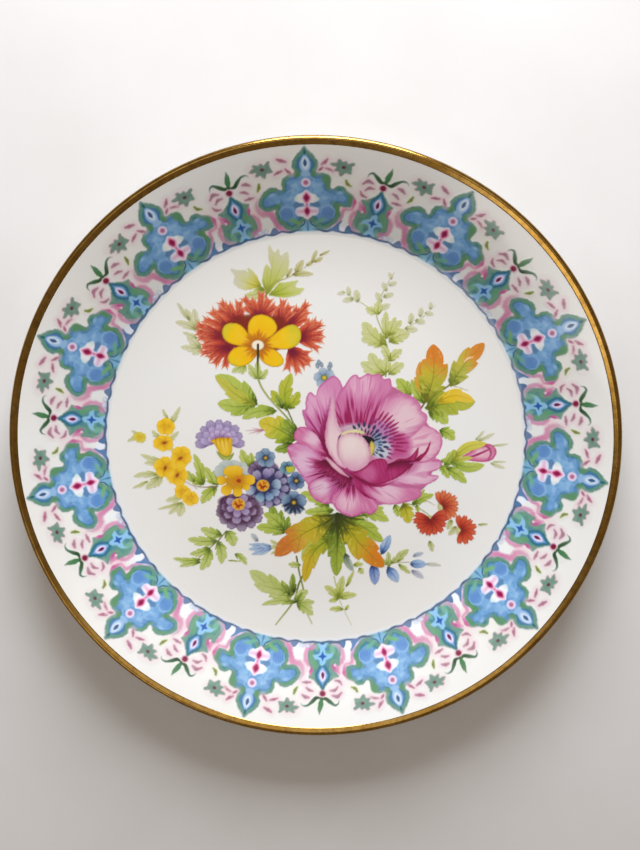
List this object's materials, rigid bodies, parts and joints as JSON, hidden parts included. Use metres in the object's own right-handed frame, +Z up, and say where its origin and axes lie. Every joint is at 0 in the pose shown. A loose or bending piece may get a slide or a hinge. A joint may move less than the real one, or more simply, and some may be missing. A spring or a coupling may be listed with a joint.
{
  "type": "dinner plate",
  "caption": "Round porcelain dinner plate with a flat well, a flared rim with a printed medallion border, a painted bouquet in the well, a gilt lip and a low foot ring.",
  "frame": {"origin": "centre of the foot ring's resting face", "axes": "+Z up along the plate's axis with the painted face upwards, +Y towards the top of the painted bouquet"},
  "size_m": [0.267, 0.267, 0.025],
  "materials": {
    "glazed_porcelain": "clear gloss glaze over warm white porcelain",
    "border_enamel": "fired on-glaze enamel, gloss, in green, blue, pink and grey",
    "bouquet_enamel": "fired on-glaze enamel, gloss, in many flower colours",
    "burnished_gold": "burnished gold, lightly worn"
  },
  "bodies": {
    "root": {"plate_body": "glazed_porcelain", "border_transfer": "border_enamel", "bouquet_transfer": "bouquet_enamel", "gilt_rim": "burnished_gold"}
  },
  "joints": []
}
